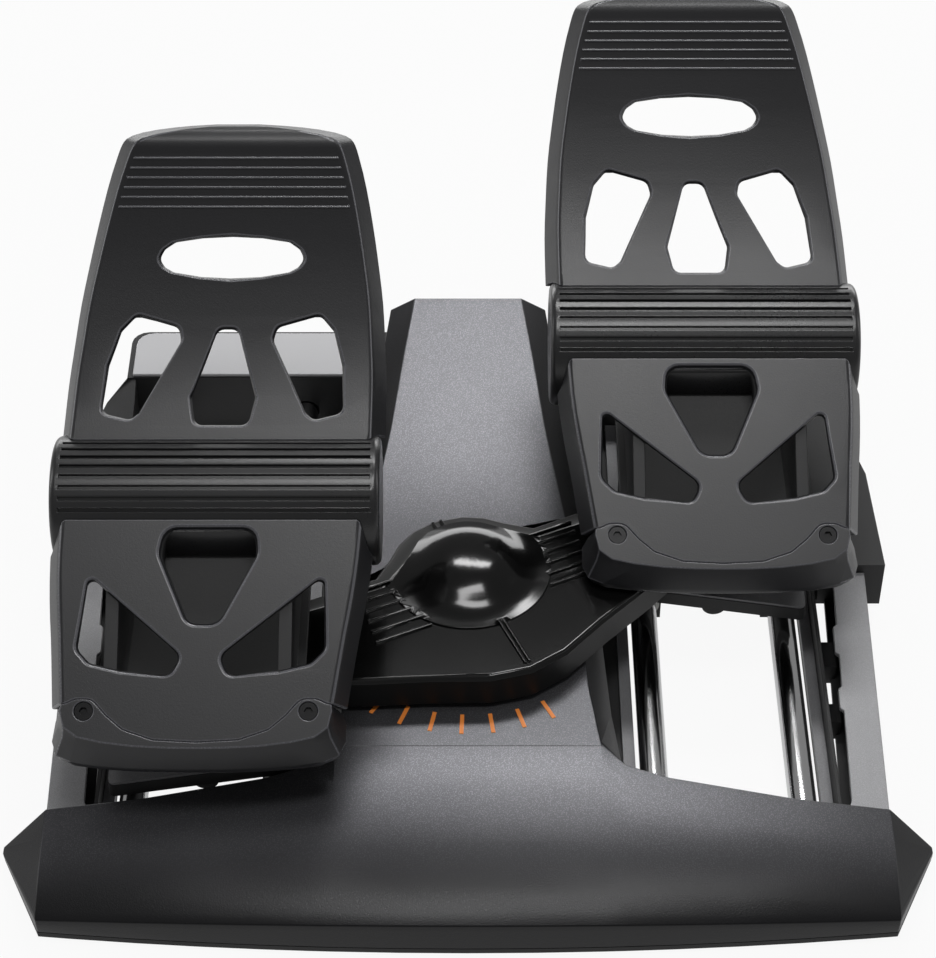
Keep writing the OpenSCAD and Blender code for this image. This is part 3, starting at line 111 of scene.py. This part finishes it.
def lay_floor():
    """A pale floor that keeps the shadow and shows almost white to the camera"""
    paint = Finish("backdrop", "bcbcbc", 0.9)
    rays = paint.node("ShaderNodeLightPath", {}, {})
    to_camera = Wire(paint, rays.outputs["Is Camera Ray"])
    to_gloss = Wire(paint, rays.outputs["Is Glossy Ray"])
    shown = to_camera * 0.93 + to_gloss * 0.5
    glow = paint.node("ShaderNodeEmission", {}, {"Color": WHITE, "Strength": 1.0})
    mixed = paint.node("ShaderNodeMixShader", {}, {0: shown, 1: paint.shader.outputs[0], 2: glow.outputs[0]})
    paint.tree.links.new(mixed.outputs[0], paint.tree.nodes["Material Output"].inputs[0])
    bm = bmesh.new()
    bmesh.ops.create_grid(bm, x_segments=1, y_segments=1, size=6)
    mesh = bpy.data.meshes.new("floor")
    bm.to_mesh(mesh)
    bm.free()
    mesh.materials.append(paint.material)
    ground = bpy.data.objects.new("floor", mesh)
    scene.collection.objects.link(ground)


def light_room():
    """Even white light all round, full white to the camera"""
    room = bpy.data.worlds.new("World")
    scene.world = room
    room.use_nodes = True
    tree = room.node_tree
    rays = tree.nodes.new("ShaderNodeLightPath")
    level = tree.nodes.new("ShaderNodeMapRange")
    tree.links.new(rays.outputs["Is Camera Ray"], level.inputs["Value"])
    level.inputs["To Min"].default_value = 0.25
    level.inputs["To Max"].default_value = 1.0
    sky = tree.nodes["Background"]
    tree.links.new(level.outputs[0], sky.inputs["Strength"])
    sky.inputs["Color"].default_value = WHITE


# ---------------------------------------------------------------- finishes

def linear(code):
    """The linear colour of a six digit sRGB code"""
    parts = [int(code[i:i + 2], 16) / 255 for i in (0, 2, 4)]
    return [p / 12.92 if p <= 0.04045 else ((p + 0.055) / 1.055) ** 2.4 for p in parts] + [1]


class Wire:
    """A socket's value that takes part in sums"""

    def __init__(self, finish, socket):
        self.finish = finish
        self.socket = socket

    def maths(self, operation, *values):
        made = self.finish.node("ShaderNodeMath", {"operation": operation}, dict(enumerate(values)))
        return Wire(self.finish, made.outputs[0])

    def __add__(self, other):
        return self.maths("ADD", self, other)

    def __radd__(self, other):
        return self.maths("ADD", other, self)

    def __sub__(self, other):
        return self.maths("SUBTRACT", self, other)

    def __rsub__(self, other):
        return self.maths("SUBTRACT", other, self)

    def __mul__(self, other):
        return self.maths("MULTIPLY", self, other)

    def __rmul__(self, other):
        return self.maths("MULTIPLY", other, self)

    def over(self, low, high):
        """0 below low, 1 above high, smooth between"""
        made = self.finish.node("ShaderNodeMapRange", {"interpolation_type": "SMOOTHSTEP"},
                                {"Value": self, "From Min": low, "From Max": high})
        return Wire(self.finish, made.outputs[0])


class Finish:
    """A procedural material around one Principled shader"""

    def __init__(self, name, colour, roughness, **fixed):
        self.material = bpy.data.materials.new(name)
        self.material.use_nodes = True
        self.tree = self.material.node_tree
        self.shader = self.tree.nodes["Principled BSDF"]
        self.shader.inputs["Base Color"].default_value = linear(colour)
        self.shader.inputs["Roughness"].default_value = roughness
        for key, value in fixed.items():
            self.shader.inputs[key.replace("_", " ").title().replace("Ior", "IOR")].default_value = value
        self.place = self.node("ShaderNodeTexCoord", {}, {}).outputs["Object"]

    def node(self, kind, settings, values):
        """A node of that kind, with its settings, and values or wires at its sockets"""
        made = self.tree.nodes.new(kind)
        for key, value in settings.items():
            setattr(made, key, value)
        for key, value in values.items():
            if isinstance(value, Wire):
                value = value.socket
            if isinstance(value, bpy.types.NodeSocket):
                self.tree.links.new(value, made.inputs[key])
            else:
                made.inputs[key].default_value = value
        return made

    def part(self, vector, letter):
        split = self.node("ShaderNodeSeparateXYZ", {}, {"Vector": vector})
        return Wire(self, split.outputs[letter])

    def noise(self, scale, detail=3, stretch=(1, 1, 1)):
        """Noise with about that many grains a metre"""
        placed = self.node("ShaderNodeMapping", {}, {"Vector": self.place, "Scale": stretch})
        made = self.node("ShaderNodeTexNoise", {},
                         {"Vector": placed.outputs[0], "Scale": scale, "Detail": detail})
        return Wire(self, made.outputs[0])

    def cells(self, scale):
        """Distance from the middle of cells, about that many a metre"""
        made = self.node("ShaderNodeTexVoronoi", {}, {"Vector": self.place, "Scale": scale})
        return Wire(self, made.outputs["Distance"])

    def blend(self, factor, low, high):
        """A colour between two colours or wires of colour"""
        pick = [linear(c) if isinstance(c, str) else c for c in (low, high)]
        made = self.node("ShaderNodeMix", {"data_type": "RGBA"}, {0: factor, 6: pick[0], 7: pick[1]})
        return Wire(self, made.outputs[2])

    def feed(self, **wires):
        for key, wire in wires.items():
            self.tree.links.new(wire.socket, self.shader.inputs[key.replace("_", " ").title()])

    def relief(self, height, depth):
        """Bump of that depth in metres"""
        bump = self.node("ShaderNodeBump", {}, {"Height": height, "Distance": depth, "Strength": 1.0})
        self.tree.links.new(bump.outputs[0], self.shader.inputs["Normal"])


def moulded(name, dark, light, roughness, grain, depth, **fixed):
    """Matt moulded plastic: a fine spark-eroded grain with faint cloudiness"""
    made = Finish(name, dark, roughness, **fixed)
    cloud = made.noise(9)
    speck = made.noise(grain, 2)
    made.feed(base_color=made.blend(cloud * 0.6 + speck * 0.4, dark, light),
              roughness=speck * 0.12 + cloud * 0.08 + (roughness - 0.1))
    made.relief(speck, depth)
    return made


def sparkle(name, dark, light, roughness):
    """Metallic paint: small bright flakes over a soft ground"""
    made = Finish(name, dark, roughness, metallic=0.35)
    flake = made.cells(2600)
    cloud = made.noise(6)
    bright = 1 - flake.over(0.1, 0.55)
    made.feed(base_color=made.blend(bright * 0.55 + cloud * 0.35, dark, light),
              roughness=bright * -0.1 + (roughness + 0.05))
    made.relief(flake, 0.00006)
    return made


def polished(name, colour, roughness):
    """Ground metal with hair lines along it"""
    made = Finish(name, colour, roughness, metallic=1.0)
    hair = made.noise(220, 2, (6, 0.4, 6))
    made.feed(roughness=hair * 0.06 + (roughness - 0.03))
    made.relief(hair, 0.00001)
    return made


def cover_paint():
    """Graphite paint with fine flakes over satin plastic, with painted shade: darker on steep sides and towards
    the front lip
    """
    made = Finish("graphite_satin", "3c3c3f", 0.33, metallic=0.6, specular_ior_level=0.28)
    # painted shade: this mask falls to 0 at the front lip, so the paint fades to near black there
    lip_painted_shade_fade = made.part(made.place, "Y").over(-0.19, -0.15)
    facing = made.node("ShaderNodeNewGeometry", {}, {}).outputs["Normal"]
    # painted shade: faces tilted more than about 13 degrees from level start to darken and are near black past
    # about 39 degrees
    level = made.part(facing, "Z").over(0.78, 0.975)
    flake = made.cells(1500)
    bright = 1 - flake.over(0.1, 0.5)
    cloud = made.noise(7)
    speck = made.noise(1500, 2)
    paint = made.blend(bright * 0.36 + cloud * 0.3, "3d3d40", "7e7e81")
    # the painted shade: where either mask is low, the colour blends to near black 131315 and the metallic drops
    shown = lip_painted_shade_fade * level
    made.feed(base_color=made.blend(shown, "131315", paint), metallic=shown * 0.5 + 0.15,
              roughness=0.28 + speck * 0.06 + bright * -0.05 + cloud * 0.03)
    made.relief(speck * 0.5 + flake, 0.00003)
    return made


def rotor_gloss():
    """Gloss black on top, satin on the rotor's skirt"""
    made = Finish("gloss_black", "080808", 0.14, specular_ior_level=0.38)
    top = made.part(made.place, "Z").over(0.0575, 0.0595)
    speck = made.noise(500, 2)
    cloud = made.noise(14)
    made.feed(base_color=made.blend(speck * 0.5 + cloud * 0.5, "070707", "0c0c0c"),
              roughness=0.42 + cloud * 0.04 - top * 0.31)
    made.relief(speck, 0.000003)
    return made


FINISHES = {
    "graphite_satin": cover_paint(),
    "black_pan": moulded("black_pan", "161617", "1e1e1f", 0.6, 1200, 0.00004),
    "grey_metal": sparkle("grey_metal", "6c6c6e", "8a8a8c", 0.45),
    "metallic_grey": sparkle("metallic_grey", "7e7e80", "a8a8aa", 0.42),
    "light_grey": moulded("light_grey", "b0b0b2", "bcbcbe", 0.4, 1500, 0.00003),
    "chrome": polished("chrome", "dededf", 0.13),
    "rubber": moulded("rubber", "131313", "1c1c1c", 0.8, 900, 0.00006),
    "zinc_steel": polished("zinc_steel", "b4b6b8", 0.3),
    "board_green": moulded("board_green", "1c4a2c", "24583a", 0.45, 700, 0.00003),
    "orange_paint": moulded("orange_paint", "d87828", "e88a38", 0.5, 1500, 0.00001),
    "gloss_black": rotor_gloss(),
    "brass": polished("brass", "b89a50", 0.3),
    "acetal": moulded("acetal", "d8d8d4", "e2e2de", 0.4, 900, 0.00002),
    "pedal_charcoal": moulded("pedal_charcoal", "161618", "1e1e21", 0.38, 1400, 0.00004),
    "black_oxide": moulded("black_oxide", "0a0a0b", "121214", 0.3, 1500, 0.00001, specular_ior_level=0.25),
    "satin_black": moulded("satin_black", "1b1b1c", "242425", 0.3, 1400, 0.00001),
}


# ---------------------------------------------------------------- pieces

def paint_nodes():
    """Every CAD node takes the finish of its slot"""
    for name, node in nodes.items():
        finish = FINISHES[slot_of[name]].material
        node.data.materials.clear()
        node.data.materials.append(finish)
        node.data.shade_smooth()
        node.data.set_sharp_from_angle(angle=NODE_SHARP)


def solid_form(node):
    """A copy of a CAD node's mesh with its corners merged and its flat faces whole"""
    bm = bmesh.new()
    bm.from_mesh(nodes[node].data)
    bmesh.ops.remove_doubles(bm, verts=bm.verts, dist=MERGE_WITHIN)
    bmesh.ops.dissolve_limit(bm, angle_limit=FLAT_WITHIN, verts=bm.verts, edges=bm.edges)
    bm.normal_update()
    return bm


def show(bm, name, finishes, body, sharp):
    """A finished mesh becomes a piece of the object"""
    mesh = bpy.data.meshes.new(name)
    bm.to_mesh(mesh)
    bm.free()
    for finish in finishes:
        mesh.materials.append(finish.material)
    mesh.shade_smooth()
    mesh.set_sharp_from_angle(angle=sharp)
    piece = bpy.data.objects.new(name, mesh)
    scene.collection.objects.link(piece)
    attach(piece, body)
    return piece


def round_openings(bm):
    """The outlines of the openings, where walls through the plate meet, become rounder"""
    corners = []
    for edge in bm.edges:
        if len(edge.link_faces) != 2 or not CORNER_LENGTH[0] < edge.calc_length() < CORNER_LENGTH[1]:
            continue
        if not CORNER_ANGLE[0] < edge.calc_face_angle(0) < CORNER_ANGLE[1]:
            continue
        along = (edge.verts[1].co - edge.verts[0].co).normalized()
        if all(any(abs(face.normal.dot(along)) > CORNER_FACING for face in end.link_faces)
               for end in edge.verts):
            corners.append(edge)
    bmesh.ops.bevel(bm, geom=corners, offset=CORNER_SHARE, offset_type="PERCENT", affect="EDGES",
                    segments=CORNER_STEPS, profile=0.5, material=-1)


def level_step(bm):
    """The fine step between the deck and the front lip comes up to one height"""
    low, high = STEP_HEIGHTS
    for vert in bm.verts:
        if abs(vert.co.y - STEP_AT) < 0.0001 and low < vert.co.z < high:
            vert.co.z = high
    bmesh.ops.dissolve_degenerate(bm, dist=0.00001, edges=bm.edges)


def eased(node, width, openings=False, step=False, held=False, highlight_finish=None):
    """A CAD node's form with its outer edges rounded: held stops them from meeting, highlight_finish is a
    lighter, glossier finish painted on the rounded edges as a highlight
    """
    bm = solid_form(node)
    if openings:
        round_openings(bm)
    if step:
        level_step(bm)
    outer = [edge for edge in bm.edges if len(edge.link_faces) == 2 and edge.is_convex
             and edge.calc_face_angle(0) > EDGE_FROM]
    made = bmesh.ops.bevel(bm, geom=outer, offset=width, offset_type="OFFSET", affect="EDGES",
                           segments=EDGE_STEPS, profile=0.5, clamp_overlap=held, material=-1)
    slot = slot_of[node]
    finishes = [FINISHES[slot]]
    # painted highlight: the rounded edges take the lighter, glossier highlight finish
    if highlight_finish:
        finishes.append(highlight_finish)
        for face in made["faces"]:
            face.material_index = 1
    piece = show(bm, node + "_eased", finishes, body_of[node], PIECE_SHARP)
    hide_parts(node)
    level = piece.modifiers.new("Level", "WEIGHTED_NORMAL")
    level.mode = "FACE_AREA"
    level.weight = 50
    level.keep_sharp = True


def cup_rim(bm, middle):
    """The way a pedal's plate faces, and the places of its top opening's outline on the back of it"""
    plate = max((face for face in bm.faces if face.normal.z > 0.3), key=lambda face: face.calc_area())
    out = plate.normal.copy()
    up = Vector((0, out.z, -out.y))
    start = plate.calc_center_median()
    start.x = middle
    rim = []
    for vert in bm.verts:
        away = vert.co - start
        if (abs(away.x) < CUP_HALF_WIDTH and CUP_HEIGHTS[0] < away.dot(up) < CUP_HEIGHTS[1]
                and CUP_RIM[0] < away.dot(out) < CUP_RIM[1]):
            rim.append(vert.co.copy())
    return out, rim


def pocket(side):
    """The cup behind the top opening of a lower pedal plate"""
    node = "lower_pedal_" + side
    low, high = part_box(node)
    bm = solid_form(node)
    out, rim = cup_rim(bm, (low.x + high.x) / 2)
    bm.clear()
    for place in rim:
        bm.verts.new(place)
        bm.verts.new(place - out * CUP_DEPTH)
    made = bmesh.ops.convex_hull(bm, input=bm.verts)
    spare = set(made["geom_interior"]) | set(made["geom_unused"])
    loose = [item for item in spare if isinstance(item, bmesh.types.BMVert)]
    bmesh.ops.delete(bm, geom=loose, context="VERTS")
    bmesh.ops.dissolve_limit(bm, angle_limit=CUP_FLAT, verts=bm.verts, edges=bm.edges)
    bm.normal_update()
    mouth = [face for face in bm.faces if face.normal.dot(out) > 0.95]
    bmesh.ops.delete(bm, geom=mouth, context="FACES_ONLY")
    cup = show(bm, "pocket_cup_" + side, [FINISHES["black_pan"]], body_of[node], NODE_SHARP)
    wall = cup.modifiers.new("Wall", "SOLIDIFY")
    wall.thickness = CUP_WALL
    wall.offset = 1


# ---------------------------------------------------------------- the scene

set_camera()
paint_nodes()
# painted highlight: a lighter, glossier finish on the rounded edges of the pedals and heel rests, standing for
# bright edge lines; the edges are most likely the same plastic
worn_edge = moulded("worn_edge", "4a4a4e", "5a5a5e", 0.26, 1400, 0.00001)
for side in SIDES:
    eased("upper_pedal_" + side, 0.0005, openings=True, highlight_finish=worn_edge)
    eased("lower_pedal_" + side, 0.0008, openings=True, highlight_finish=worn_edge)
    eased("heel_rest_" + side, 0.0005, highlight_finish=worn_edge)
    pocket(side)
    eased("hinge_barrel_" + side, 0.0003)
    eased("pedal_support_" + side, 0.0008, held=True)
    eased("side_panel_" + side, 0.0005)
    eased("side_rail_" + side, 0.0003, held=True)
    eased("rear_panel_" + side, 0.0005)
eased("top_cover", 0.0006, step=True)
eased("rotor_cover", 0.0003)
eased("rear_housing", 0.001, held=True)

lay_floor()
softbox("strip_box", (0.1, 0.68, 1.25), (0.02, 0.05, 0), 0.66, 0.16, 7)
softbox("top_box", (0.1, -0.32, 1.9), (0, -0.05, 0.1), 0.9, 0.32, 12)
softbox("rear_box", (0, 1.8, 0.35), (0, 0.1, 0.2), 2.4, 0.5, 16)
softbox("left_box", (-1.7, 0.3, 0.8), (0, 0, 0.1), 0.5, 1.2, 6)
softbox("right_box", (1.7, 0.3, 0.8), (0, 0, 0.1), 0.5, 1.2, 4)
light_room()
scene.view_settings.view_transform = "Standard"
